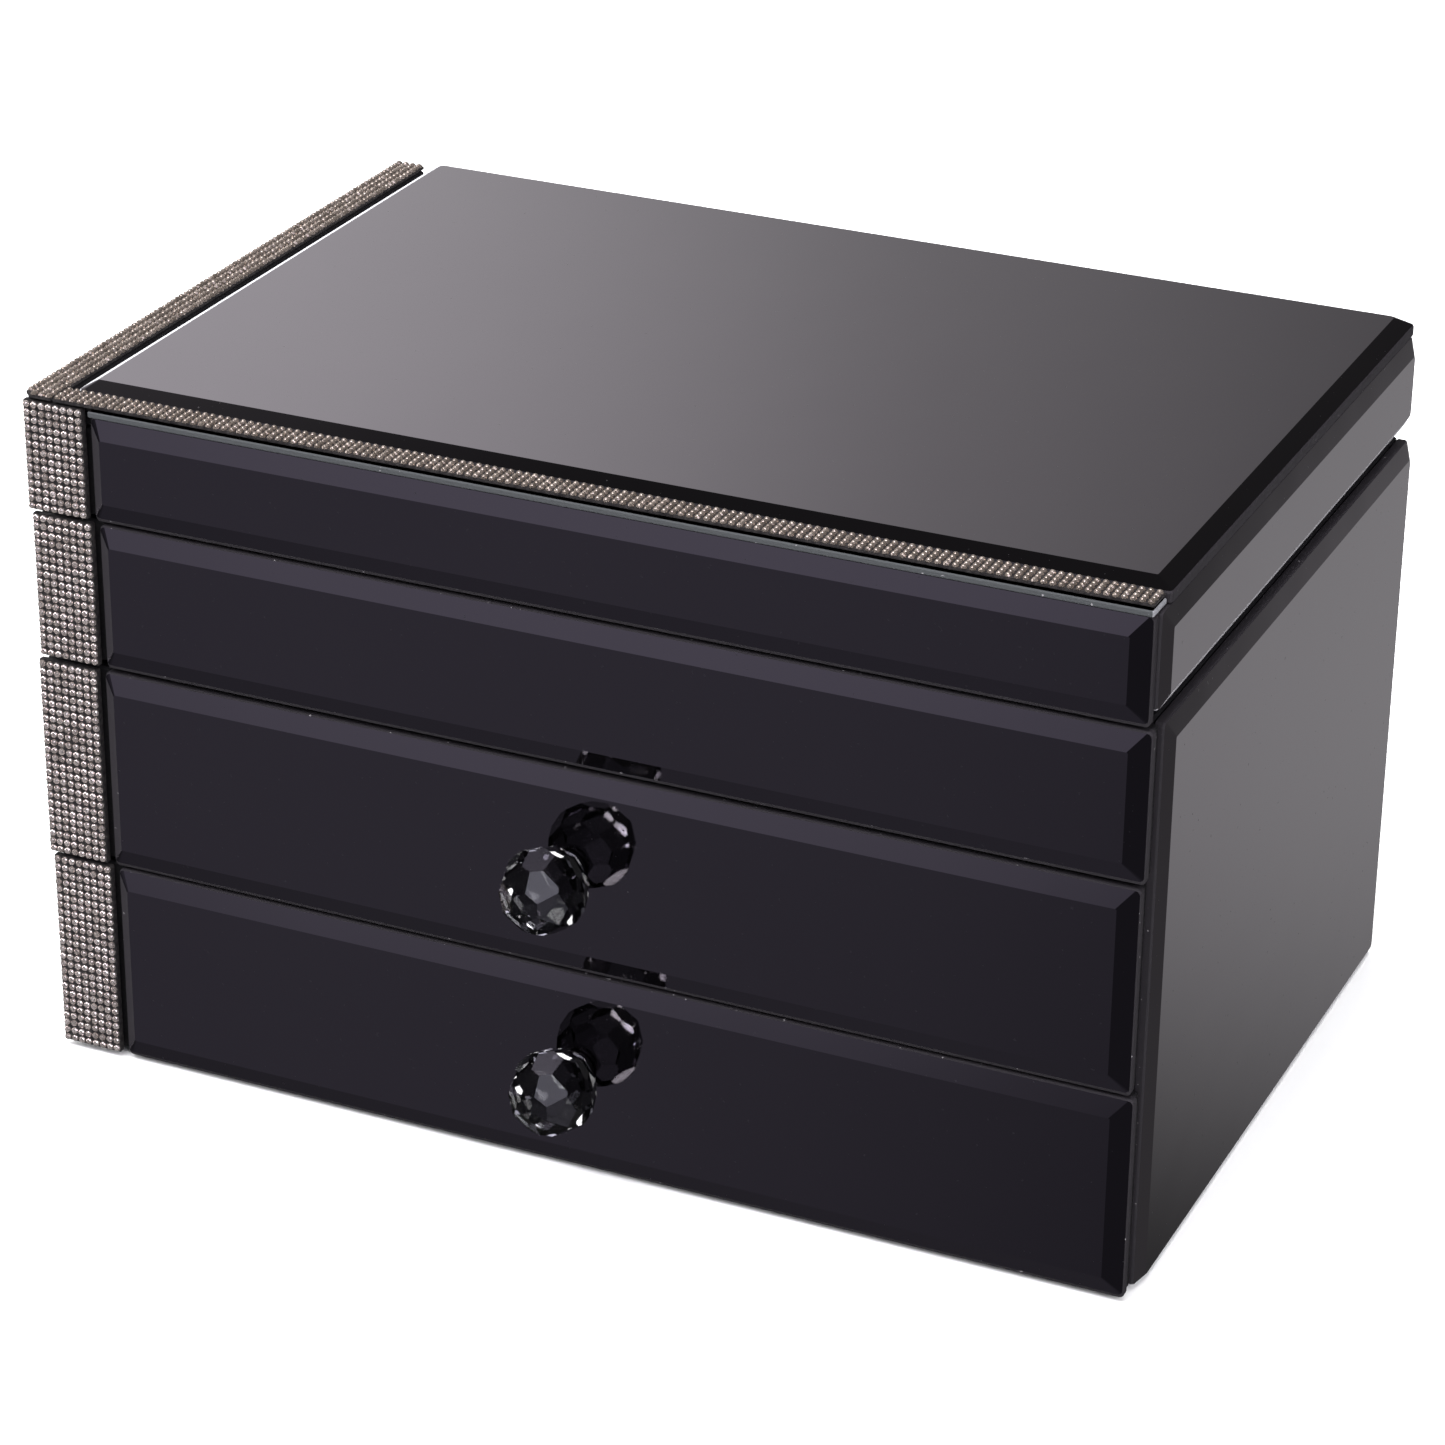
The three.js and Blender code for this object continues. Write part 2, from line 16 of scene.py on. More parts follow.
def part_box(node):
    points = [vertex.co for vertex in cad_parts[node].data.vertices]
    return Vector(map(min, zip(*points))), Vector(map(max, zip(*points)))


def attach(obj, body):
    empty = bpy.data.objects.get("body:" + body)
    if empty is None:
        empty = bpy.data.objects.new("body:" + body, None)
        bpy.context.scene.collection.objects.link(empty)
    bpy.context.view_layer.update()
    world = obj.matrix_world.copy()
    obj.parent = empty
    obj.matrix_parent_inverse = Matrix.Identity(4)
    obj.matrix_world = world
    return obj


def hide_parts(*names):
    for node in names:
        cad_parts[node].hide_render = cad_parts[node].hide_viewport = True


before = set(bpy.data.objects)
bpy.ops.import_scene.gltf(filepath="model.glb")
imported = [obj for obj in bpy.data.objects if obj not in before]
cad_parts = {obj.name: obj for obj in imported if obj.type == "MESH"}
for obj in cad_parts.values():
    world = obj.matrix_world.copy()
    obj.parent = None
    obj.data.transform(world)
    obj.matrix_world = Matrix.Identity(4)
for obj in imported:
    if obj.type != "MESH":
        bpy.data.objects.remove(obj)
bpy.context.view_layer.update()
MM = 0.001

# %% [markdown]
# ## The camera
# The chest is seen from the front right and from above, from about a metre away, through a long
# lens. A camera could be turned by hand with three angles. Pointing it from where it stands to the
# point it looks at is easier to read, and leaves only a small roll to add.

# %% Camera
STANDS_AT = Vector((0.41006, -0.91309, 0.55981))
LOOKS_AT = Vector((0.00840, -0.01595, 0.08874))
ROLL = math.radians(0.60)
LENS, FILM_WIDTH = 113.63, 36.0      # in millimetres
NEAREST_SEEN = 0.01

camera = bpy.data.objects.new("camera", bpy.data.cameras.new("camera"))
bpy.context.scene.collection.objects.link(camera)
camera.data.lens = LENS
camera.data.sensor_width = FILM_WIDTH
camera.data.clip_start = NEAREST_SEEN
aim = (LOOKS_AT - STANDS_AT).to_track_quat("-Z", "Y").to_matrix().to_4x4()
camera.matrix_world = Matrix.Translation(STANDS_AT) @ aim @ Matrix.Rotation(ROLL, 4, "Z")
bpy.context.scene.camera = camera
print("camera stands", round((STANDS_AT - LOOKS_AT).length, 3), "m from what it looks at")

# %% [markdown]
# ## Writing shader maths as Python
# A finish is a small graph of nodes. Wiring each node by hand hides the sum being done, so a wire
# here is an object whose +, - and * add the Math node. Every other kind of node comes from the
# node method of the same class, which sets the node up first and then fills its sockets.

# %% Wires and graphs
def plug(tree, socket, value):
    """Links a wire to a socket, or sets a plain value on it."""
    if isinstance(value, Wire):
        tree.links.new(value.socket, socket)
    elif socket.type == "RGBA":
        socket.default_value = (*value, 1.0)[:4]
    else:
        socket.default_value = value


class Wire:
    """The output socket of a node, which can be used in sums."""

    def __init__(self, tree, socket):
        self.tree, self.socket = tree, socket

    def node(self, kind, settings, sockets, out=0):
        """Adds a node of any kind, sets it up, fills its sockets and gives the wire out of it."""
        made = self.tree.nodes.new(kind)
        for name, value in settings.items():
            setattr(made, name, value)
        for name, value in sockets.items():
            plug(self.tree, made.inputs[name], value)
        return None if out is None else Wire(self.tree, made.outputs[out])

    def maths(self, operation, first, second):
        return self.node("ShaderNodeMath", {"operation": operation}, {0: first, 1: second})

    def __add__(self, other): return self.maths("ADD", self, other)
    def __radd__(self, other): return self.maths("ADD", other, self)
    def __sub__(self, other): return self.maths("SUBTRACT", self, other)
    def __rsub__(self, other): return self.maths("SUBTRACT", other, self)
    def __mul__(self, other): return self.maths("MULTIPLY", self, other)
    def __rmul__(self, other): return self.maths("MULTIPLY", other, self)
    def __abs__(self): return self.maths("ABSOLUTE", self, 0.0)

    def dot(self, direction):
        """1 along the direction, 0 across it and -1 against it."""
        settings = {"operation": "DOT_PRODUCT"}
        return self.node("ShaderNodeVectorMath", settings, {0: self, 1: direction}, "Value")

    def between(self, low, high):
        """0 at low and below, 1 at high and above, and smooth between them."""
        settings = {"interpolation_type": "SMOOTHSTEP"}
        sockets = {"Value": self, "From Min": low, "From Max": high}
        return self.node("ShaderNodeMapRange", settings, sockets)

    def colours(self, first, second):
        """The first colour where this is 0, the second where it is 1."""
        sockets = {0: self, 6: first, 7: second}
        return self.node("ShaderNodeMix", {"data_type": "RGBA"}, sockets, 2)

    def noise(self, size, detail=2.0, roughness=0.5):
        """Cloudy values whose blotches are about this size, in metres."""
        sockets = {"Vector": self, "Scale": 1.0 / size, "Detail": detail, "Roughness": roughness}
        return self.node("ShaderNodeTexNoise", {}, sockets)


print("shader maths ready")

# %% [markdown]
# ## Starting and closing a finish
# Each finish needs the same start, the object's own coordinates and normals, and the same end, one
# Principled shader. Own coordinates are used, not unwrapped ones, because the pieces are thin boards
# and small stones that a wrap would stretch, and because they move with a drawer or the lid.

# %% Finish helpers
def start_finish(name):
    """A new material, with the wires that say where a point is and which way it faces."""
    material = bpy.data.materials.new(name)
    material.use_nodes = True
    tree = material.node_tree
    tree.nodes.clear()
    place = tree.nodes.new("ShaderNodeTexCoord")
    return material, Wire(tree, place.outputs["Object"]), Wire(tree, place.outputs["Normal"])


def close_finish(wire, uniform, varied):
    """Ends a material in one shader: values that are the same all over, and values that vary."""
    shader = wire.node("ShaderNodeBsdfPrincipled", {}, {**uniform, **varied})
    wire.node("ShaderNodeOutputMaterial", {}, {"Surface": shader}, None)


def bump(height, distance, strength=1.0):
    """Normals as if the surface rose and fell by this distance."""
    sockets = {"Height": height, "Distance": distance, "Strength": strength}
    return height.node("ShaderNodeBump", {}, sockets)


print("finish helpers ready")

# %% [markdown]
# ## The room
# Dark mirror glass has almost no look of its own: each face shows the part of the room that it
# mirrors. A soft white room would turn every face pale. The room here is mostly dark to reflections,
# with a few soft glows where a white wall or a lit table would be, while the camera itself sees plain
# white. The glows are made from the angle between a direction and the middle of each glow.

# %% Room
GLOWS = [  # turn to the right from the back, height, full to, gone by (all in degrees), strength
    (-42, 20, 0, 20, 0.45),       # pale wall behind on the left, seen in the top
    (-42, 20, 0, 28, 0.45),       # the soft edge of that wall
    (-25, 19, 8, 22, 0.16),       # the same wall further right
    (17, -20, 4.5, 12.5, 0.40),   # table behind, seen in the right side
    (46, -25, 12, 32, 0.075),     # table on the right, seen in the side bevels
    (-156.5, 8, 3, 16, 0.27),     # wall in front, seen in the upper bevels
    (-148, -19, 4, 23, 0.085),    # table in front, seen in the fronts
    (-150, -52, 6, 24, 0.045),    # table close in front, seen in the lower bevels
    (-129, 71, 5, 19, 5.50),      # overhead light
    (130, 34, 4, 15, 4.00),       # light on the right
    (-96, 12, 4, 16, 3.00),       # light on the left
    (165, 36, 3, 9, 2.20),        # small light in front, seen in one facet of each knob
    (132, -26, 3, 9, 0.45),       # pale table on the right, seen in another facet
]
DIM_ROOM = 0.035
HUE_BEHIND, HUE_IN_FRONT = (1.0, 0.99, 1.0), (0.95, 0.93, 1.12)      # cooler in front


def heading_of(turn, height):
    """The direction at this turn to the right from +Y and this height, both in degrees."""
    turn, height = math.radians(turn), math.radians(height)
    flat = math.cos(height)
    return Vector((math.sin(turn) * flat, math.cos(turn) * flat, math.sin(height)))


def nearness(degrees):
    """How near to the middle of a glow a direction is that turns this far away from it."""
    return math.cos(math.radians(degrees))


world = bpy.data.worlds.new("studio")
bpy.context.scene.world = world
world.use_nodes = True
world.node_tree.nodes.clear()
heading = Wire(world.node_tree, world.node_tree.nodes.new("ShaderNodeTexCoord").outputs["Generated"])
seen = Wire(world.node_tree, world.node_tree.nodes.new("ShaderNodeLightPath").outputs["Is Camera Ray"])
brightness = DIM_ROOM
for turn, height, full, gone, strength in GLOWS:
    glow = heading.dot(heading_of(turn, height)).between(nearness(gone), nearness(full))
    brightness = glow * strength + brightness
hue = heading.dot((0, -1, 0)).between(0.0, 0.5).colours(HUE_BEHIND, HUE_IN_FRONT)
mirrored = hue.node("ShaderNodeBackground", {}, {"Color": hue, "Strength": brightness})
plain = heading.node("ShaderNodeBackground", {}, {"Color": (1.0, 1.0, 1.0), "Strength": 1.0})
sky = seen.node("ShaderNodeMixShader", {}, {0: seen, 1: mirrored, 2: plain})
sky.node("ShaderNodeOutputWorld", {}, {"Surface": sky}, None)
bpy.context.scene.view_settings.view_transform = "Standard"
print(len(GLOWS), "glows in the room")

# %% [markdown]
# ## The floor
# A pale floor carries the chest and takes its soft shadow. The mirror glass and the clear knobs
# don't see it, because the room above already gives them what they mirror. A backdrop that curves up
# at the back is another way, but against a white room a level floor is enough.

# %% Floor
FLOOR_HALF_WIDTH = 4.0
FLOOR_DROP = 0.5 * MM      # a hair below the felt


def as_mesh(name, made):
    """Turns a mesh that was edited into one that an object can show."""
    mesh = bpy.data.meshes.new(name)
    made.to_mesh(mesh)
    made.free()
    return mesh


floor_paint, floor_place, _ = start_finish("pale_floor")
mottle = floor_place.noise(0.15, 3.0)
close_finish(mottle, {"Specular IOR Level": 0.1}, {
    "Base Color": mottle.colours((0.93, 0.93, 0.93), (0.95, 0.95, 0.95)),
    "Roughness": 0.7 + mottle * 0.1,
})
made = bmesh.new()
bmesh.ops.create_grid(made, x_segments=8, y_segments=8, size=FLOOR_HALF_WIDTH)
floor = bpy.data.objects.new("floor", as_mesh("floor", made))
floor.data.materials.append(floor_paint)
bpy.context.scene.collection.objects.link(floor)
floor.location.z = -FLOOR_DROP
floor.visible_glossy = floor.visible_transmission = False
print("floor laid,", 2 * FLOOR_HALF_WIDTH, "m wide")

# %% [markdown]
# ## The lights
# Three broad lights reach the matt surfaces: the velvet, the wrapped boards and the floor. One bright
# lamp would be simpler and would leave hard shadows, which a table for showing goods doesn't have.
# They are hidden from reflections for the same reason as the floor.

# %% Lights
LIGHTS_AIM = Vector((0, 0, 0.08))
LIGHTS = [  # name, where, size, watts
    ("overhead", (-0.3, -0.2, 1.9), 2.6, 95.0),
    ("right", (1.8, -1.0, 1.2), 1.8, 42.0),
    ("left", (-1.8, -0.9, 1.1), 1.8, 38.0),
]
for name, where, size, watts in LIGHTS:
    light = bpy.data.objects.new(name, bpy.data.lights.new(name, "AREA"))
    light.data.shape = "DISK"
    light.data.size = size
    light.data.energy = watts
    light.location = where
    light.rotation_euler = (LIGHTS_AIM - Vector(where)).to_track_quat("-Z", "Y").to_euler()
    light.visible_glossy = False
    bpy.context.scene.collection.objects.link(light)
print(len(LIGHTS), "lights hung")

# %% [markdown]
# ## Dark mirror glass
# Grey glass silvered on the back mirrors about a fifth of the light. Its cut edge is ground, not
# polished, so it is matt and paler, and so is the dulled line beside each bevel. Both could be
# separate pieces. It is simpler to tell them by how far the surface turns from the way the plate
# faces: a bevel turns about 14 degrees, the dulled line and the edge turn far more. On one side of
# each plate the ground edge is painted brighter still, a painted highlight where that edge catches
# the light.

# %% Mirror glass
GLASS_TINT = (0.200, 0.180, 0.205)
GLASS_SMEARED = (0.212, 0.193, 0.216)
DUST_TINT = (0.40, 0.38, 0.40)
BEVEL_TURN, GROUND_TURN = 0.945, 0.925      # cosines: bevels turn less, ground edges turn more
SIDE_FROM, SIDE_FULL = 0.25, 0.45           # how far an edge faces the side that gets the painted highlight
DUST_FROM, DUST_FULL = 0.755, 0.80          # only the highest tips of its noise are specks


def dark_mirror(name, facing, edge, painted_highlight_side, painted_highlight_edge):
    """A plate that faces one way, with a painted highlight on the ground edges of one side."""
    material, place, normal = start_finish(name)
    ground = 1 - abs(normal.dot(facing)).between(GROUND_TURN, BEVEL_TURN)
    # painted highlight: the ground edges that face one side are painted brighter, where light catches
    # them
    painted_highlight_mask = normal.dot(painted_highlight_side).between(SIDE_FROM, SIDE_FULL)
    smear = place.noise(0.05, 3.0)
    dust = place.noise(0.0011, 1.0).between(DUST_FROM, DUST_FULL)
    grain = place.noise(0.0015, 3.0)
    cut = painted_highlight_mask.colours(edge, painted_highlight_edge)
    tint = smear.colours(GLASS_TINT, GLASS_SMEARED)
    close_finish(place, {"Specular IOR Level": 0.12}, {
        "Base Color": (dust * 0.5).colours(ground.colours(tint, cut), DUST_TINT),
        "Metallic": 1 - ground,
        "Roughness": 0.03 + smear * 0.03 + ground * (0.45 + grain * 0.15) + dust * 0.3,
        "Normal": bump(place.noise(0.03, 1.0), 0.00004),
    })
    return material


print("mirror glass goes from", BEVEL_TURN, "to ground at", GROUND_TURN)

# %% Four plates
LEFT, RIGHT, DOWN = (-1, 0, 0), (1, 0, 0), (0, 0, -1)
EDGE = (0.020, 0.018, 0.021)
LEDGE_EDGE = (0.045, 0.048, 0.051)
PLATES = {  # the way it faces, its edges, the side of the painted highlight, the edge colour painted there
    "front": ((0, 1, 0), EDGE, DOWN, (0.022, 0.020, 0.023)),
    "side": ((1, 0, 0), EDGE, DOWN, (0.210, 0.203, 0.217)),
    "top": ((0, 0, 1), EDGE, LEFT, (0.480, 0.480, 0.500)),
    "ledge": ((0, 0, 1), LEDGE_EDGE, RIGHT, (0.170, 0.170, 0.185)),
}
glass_facing = {plate: dark_mirror(f"dark_mirror_{plate}", *rest) for plate, rest in PLATES.items()}
print("mirror glass for", ", ".join(glass_facing))

# %% [markdown]
# ## Wrapped boards, velvet and felt
# The boards are wrapped in a black embossed paper that looks like leather: a cell pattern pressed in,
# with a slight gloss on its high parts. Velvet is darker still and lights up at a glancing angle,
# which the sheen of the shader gives. A woven picture could be mapped on, but a cell pattern and
# cloudy noise hold up at any distance and need no image.

# %% Board, velvet and felt
PILE_SHINE = (0.75, 0.70, 0.80)


def wrapped_paper():
    """Black embossed paper over board."""
    material, place, _ = start_finish("wrapped_paper")
    cells = place.node("ShaderNodeTexVoronoi", {"feature": "F1"},
                       {"Vector": place, "Scale": 1400.0, "Randomness": 0.9})
    worn = place.noise(0.02, 3.0)
    close_finish(place, {"Specular IOR Level": 0.3}, {
        "Base Color": worn.colours((0.0060, 0.0056, 0.0064), (0.0100, 0.0094, 0.0106)),
        "Roughness": 0.48 + cells * 0.20 + worn * 0.10,
        "Normal": bump(1 - cells, 0.00012, 0.5),
    })
    return material


def pile(name, dark, light, sheen, nap):
    """Velvet or felt: brushed patches and tufts of one nap, between two colours."""
    material, place, _ = start_finish(name)
    brushed = place.noise(0.012, 3.0, 0.6)
    tuft = place.noise(nap, 2.0, 0.7)
    same = {"Sheen Weight": sheen, "Sheen Roughness": 0.35, "Sheen Tint": PILE_SHINE,
            "Specular IOR Level": 0.1}
    close_finish(place, same, {
        "Base Color": (brushed * 0.6 + tuft * 0.4).colours(dark, light),
        "Roughness": 0.85 + tuft * 0.1,
        "Normal": bump(tuft, 0.0003, 0.6),
    })
    return material


board_finish = wrapped_paper()
velvet_finish = pile("velvet", (0.006, 0.005, 0.008), (0.022, 0.019, 0.026), 0.35, 0.0005)
felt_finish = pile("felt", (0.010, 0.010, 0.011), (0.030, 0.030, 0.032), 0.15, 0.0009)
print("board, velvet and felt ready")

# %% [markdown]
# ## Nickel
# The hinges and screws are polished nickel with faint turning marks, and the knob collars are a black
# nickel. A plain metal of one gloss looks like plastic, so the marks change its roughness a little.

# %% Nickel
def nickel_plate(name, dark, light):
    """Polished plating, cloudy between two colours."""
    material, place, _ = start_finish(name)
    marks = place.noise(0.0006, 3.0, 0.6)
    cloud = place.noise(0.006, 2.0)
    close_finish(place, {}, {
        "Metallic": 1.0 - marks * 0.02,
        "Base Color": cloud.colours(dark, light),
        "Roughness": 0.16 + marks * 0.14,
        "Normal": bump(marks, 0.00002, 0.4),
    })
    return material


nickel_finish = nickel_plate("nickel", (0.52, 0.49, 0.46), (0.66, 0.63, 0.60))
black_nickel_finish = nickel_plate("black_nickel", (0.030, 0.029, 0.031), (0.055, 0.053, 0.056))
print("nickel ready")

# %% [markdown]
# ## Crystal and the inner mirror
# The knob balls are clear glass, so they need real refraction: what shows in them is the dark front
# behind, bent by each facet. A see-through paint would be quicker and would show it straight. The
# glass is tinted grey, which keeps the knobs dark against the black fronts. The mirror inside the lid
# is ordinary silvered glass, which to a shader is a smooth metal.

# %% Crystal and inner mirror
CRYSTAL_BENDS = 1.52


def crystal_glass():
    """Clear cut glass."""
    material, place, _ = start_finish("crystal")
    cloud = place.noise(0.01, 2.0)
    close_finish(place, {"Transmission Weight": 1.0, "IOR": CRYSTAL_BENDS}, {
        "Base Color": cloud.colours((0.30, 0.30, 0.305), (0.36, 0.36, 0.365)),
        "Roughness": 0.015 + cloud * 0.03,
    })
    return material


def silvered_glass():
    """A bright mirror with a faint haze."""
    material, place, _ = start_finish("silvered_glass")
    cloud = place.noise(0.04, 3.0)
    close_finish(place, {"Specular IOR Level": 0.5}, {
        "Metallic": 1.0 - cloud * 0.01,
        "Base Color": cloud.colours((0.80, 0.81, 0.82), (0.86, 0.87, 0.87)),
        "Roughness": 0.01 + cloud * 0.03,
    })
    return material


crystal_finish = crystal_glass()
silver_finish = silvered_glass()
print("crystal and inner mirror ready")

# %% [markdown]
# ## Giving the frame its finishes
# Each solid of the frame keeps its shape and takes a finish by what it is. The names say what each
# solid is, so a short list of word and finish pairs does it, tried from the first to the last.

# %% Finish the frame
FINISH_BY_WORD = [
    ("top_glass", glass_facing["top"]), ("ledge_glass", glass_facing["ledge"]),
    ("side_glass", glass_facing["side"]), ("front_glass", glass_facing["front"]),
    ("knob_ball", crystal_finish), ("knob_collar", black_nickel_finish), ("knob", nickel_finish),
    ("hinge", nickel_finish), ("mirror", silver_finish), ("divider", velvet_finish),
    ("felt", felt_finish),
]


def finish_for(name):
    """The finish of the first word in the name, or wrapped board."""
    return next((finish for word, finish in FINISH_BY_WORD if word in name), board_finish)


for name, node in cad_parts.items():
    for slot in node.material_slots:
        slot.material = finish_for(name)
print(len(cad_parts), "solids finished")

# %% [markdown]
# ## Finishes of the stones
# The columns and strips are sheets of small faceted metal domes on a black mesh. Each dome is an
# island of its own in the sheet, and a random number for each island makes some a little paler and
# duller than others. A noise over the whole sheet would change tone inside a stone instead. The
# strips on the lid are a browner metal than the columns.

# %% Stone finishes
def stone_metal(name, dark, light):
    """Polished metal that differs from stone to stone."""
    material, place, _ = start_finish(name)
    island = place.node("ShaderNodeNewGeometry", {}, {}, "Random Per Island")
    marks = place.noise(0.0004, 2.0)
    close_finish(place, {}, {
        "Metallic": 0.80 + marks * 0.1,
        "Base Color": island.colours(dark, light),
        "Roughness": 0.09 + island * 0.08 + marks * 0.04,
    })
    return material


def stone_backing():
    """Black knotted mesh."""
    material, place, _ = start_finish("stone_backing")
    knots = place.node("ShaderNodeTexVoronoi", {"feature": "F1"}, {"Vector": place, "Scale": 900.0})
    close_finish(place, {"Specular IOR Level": 0.3}, {
        "Base Color": knots.colours((0.030, 0.027, 0.027), (0.008, 0.007, 0.008)),
        "Roughness": 0.45 + knots * 0.3,
        "Normal": bump(knots, 0.0002, 0.5),
    })
    return material


stone_finishes = {
    "front": stone_metal("stone_metal", (0.62, 0.54, 0.50), (0.86, 0.77, 0.73)),
    "top": stone_metal("strip_metal", (0.33, 0.275, 0.235), (0.52, 0.44, 0.385)),
}
backing_finish = stone_backing()
print("stone finishes ready")

# %% [markdown]
# ## One stone
# A stone is a low dome cut in flat facets, so that it flashes in a few places and not in one round
# spot. It could be a ball cut in half, but then the facets would be too even. Here it is four rings
# of corners and a tip, each ring turned half a facet from the last.

# %% One dome
DOME_SIDES = 8
DOME_RINGS = [(1.00, 0.00), (0.94, 0.36), (0.74, 0.70), (0.40, 0.93)]   # radius, height


def dome_points():
    """The corners of a dome of radius and height 1, ring by ring, with the tip last."""
    points = []
    for ring, (radius, height) in enumerate(DOME_RINGS):
        for side in range(DOME_SIDES):
            angle = math.tau * (side + 0.5 * ring) / DOME_SIDES
            points.append(Vector((radius * math.cos(angle), radius * math.sin(angle), height)))
    return points + [Vector((0, 0, 1.0))]


def dome_faces():
    """Which corners each facet joins, with a flat underside last."""
    faces, last = [], DOME_SIDES * len(DOME_RINGS)
    for ring in range(len(DOME_RINGS) - 1):
        for side in range(DOME_SIDES):
            a, b = (ring * DOME_SIDES + (side + step) % DOME_SIDES for step in (0, 1))
            c, d = a + DOME_SIDES, b + DOME_SIDES
            faces += [(a, b, c), (b, d, c)]
    top = last - DOME_SIDES
    faces += [(top + side, top + (side + 1) % DOME_SIDES, last) for side in range(DOME_SIDES)]
    faces.append(tuple(reversed(range(DOME_SIDES))))
    return faces


print("a dome has", len(dome_points()), "points and", len(dome_faces()), "facets")

# %% [markdown]
# ## A sheet of stones
# The dome is repeated in rows into a single mesh, on the outer face of the box that its sheet fills.
# Copies that share one mesh would be lighter, but the sheet has to be one piece. Each stone leans,
# turns and wanders a little at random, so that each catches the light in its own way.

# %% Rows of stones
STONE_HEIGHT = 0.85 * MM
STONE_SHARE = 0.455           # radius, as a part of the space from stone to stone
STONE_LEAN = 0.045
STONE_TURN, TURN_WANDER = math.tau / 16, 0.1    # turns a facet of every dome towards the lights
STONE_WANDER = 0.03 * MM
STONE_SINKS = 0.2             # part of its height that the rim of a leaning stone may sink
STONE_RISES = 0.97            # part of its height that its tip comes up to


def new_piece(name, mesh, materials, body):
    """Puts a mesh in the scene with its finishes, moving with a body of the frame."""
    piece = bpy.data.objects.new(name, mesh)
    bpy.context.scene.collection.objects.link(piece)
    for material in materials:
        piece.data.materials.append(material)
    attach(piece, body)
    return piece


def sheet_axes(facing):
    """Across, along and outwards, for a sheet that faces the front or the top."""
    if facing == "front":
        return Vector((1, 0, 0)), Vector((0, 0, 1)), Vector((0, -1, 0))
    return Vector((1, 0, 0)), Vector((0, 1, 0)), Vector((0, 0, 1))


def stone_rows(low, high, across, along, facing, seed, cut):
    """Points and facets of all the domes on the outer face of a box."""
    dice = random.Random(seed)
    u, v, w = sheet_axes(facing)
    start = Vector((low.x, low.y, high.z)) if facing == "top" else low
    step_u, step_v = (high - low).dot(u) / across, (high - low).dot(v) / along
    radius = STONE_SHARE * min(step_u, step_v)
    points, faces, shape, pattern = [], [], dome_points(), dome_faces()
    for row in range(along):
        sway = dice.gauss(0, STONE_WANDER)
        for column in range(across):
            right, up = (column + 0.5) * step_u, (row + 0.5) * step_v
            if right + up < cut:
                continue
            lean = (Matrix.Rotation(dice.gauss(0, STONE_LEAN), 3, "X")
                    @ Matrix.Rotation(dice.gauss(0, STONE_LEAN), 3, "Y")
                    @ Matrix.Rotation(dice.gauss(STONE_TURN, TURN_WANDER), 3, "Z"))
            middle = start + u * (right + dice.gauss(0, STONE_WANDER)) + v * (up + sway)
            middle -= w * STONE_HEIGHT
            first = len(points)
            for point in shape:
                x, y, z = lean @ point
                rise = w * max(z, -STONE_SINKS) * STONE_HEIGHT * STONE_RISES
                points.append(middle + (u * x + v * y) * radius + rise)
            faces += [tuple(first + index for index in face) for face in pattern]
    return points, faces


print("a stone stands", STONE_HEIGHT / MM, "mm proud of its board")

# %% [markdown]
# ## Boards under the stones
# The stones sit on a mesh that is glued to a thin black board. A flat plane behind them would do from
# the front, but the sides of the columns show, so it is a real board with softened edges. Where two
# strips meet on the lid, one of them has its corner cut off.

# %% The board under the stones
CORNER_CUT = 2.2 * MM         # the strips meet in a corner that is cut off at an angle
BOARD_SOFTENED = 0.2 * MM


def block(made, low, high):
    """Starts a mesh with a block between two corners."""
    for vertex in bmesh.ops.create_cube(made, size=1.0)["verts"]:
        vertex.co = [(l + h) / 2 + c * (h - l) for l, h, c in zip(low, high, vertex.co)]


def backing_board(made, low, high, outwards, cut):
    """The thin black board behind the stones, with softened edges and perhaps one cut corner."""
    low = Vector([l - STONE_HEIGHT * min(w, 0.0) for l, w in zip(low, outwards)])
    high = Vector([h - STONE_HEIGHT * max(w, 0.0) for h, w in zip(high, outwards)])
    block(made, low, high)
    if cut:
        corner = [edge for edge in made.edges
                  if all((v.co - low).xy.length < BOARD_SOFTENED for v in edge.verts)]
        bmesh.ops.bevel(made, geom=corner, offset=cut, segments=1, affect="EDGES")
    bmesh.ops.bevel(made, geom=made.edges[:], offset=BOARD_SOFTENED, segments=2, affect="EDGES")


print("its board has edges softened by", BOARD_SOFTENED / MM, "mm")

# %% Lay the stones
def lay_stones(seed, node, body, across, along, facing, cut):
    """Makes the sheet that takes the place of a plain plate of the frame."""
    low, high = (Vector(corner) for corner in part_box(node))
    made = bmesh.new()
    backing_board(made, low, high, sheet_axes(facing)[2], cut)
    backing = len(made.faces)
    for face in made.faces:
        face.material_index = 1
    points, faces = stone_rows(low, high, across, along, facing, seed, cut)
    corners = [made.verts.new(point) for point in points]
    for face in faces:
        made.faces.new([corners[index] for index in face])
    bmesh.ops.recalc_face_normals(made, faces=made.faces)
    mesh, finishes = as_mesh(f"{node}_sheet", made), [stone_finishes[facing], backing_finish]
    piece = new_piece(f"{node}_sheet", mesh, finishes, body)
    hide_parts(node)
    return len(mesh.polygons) - backing


STONE_SHEETS = [  # solid, body, stones across and along, facing, cut corner
    ("lid_front_stones", "lid", 8, 14, "front", 0.0),
    ("tray_front_stones", "carcass", 8, 18, "front", 0.0),
    ("drawer_upper_front_stones", "drawer_upper", 8, 25, "front", 0.0),
    ("drawer_lower_front_stones", "drawer_lower", 8, 25, "front", 0.0),
    ("lid_top_stones_front", "lid", 134, 4, "top", 0.0),
    ("lid_top_stones_left", "lid", 4, 92, "top", CORNER_CUT),
]
for seed, sheet in enumerate(STONE_SHEETS):
    print(sheet[0], lay_stones(seed, *sheet), "facets")

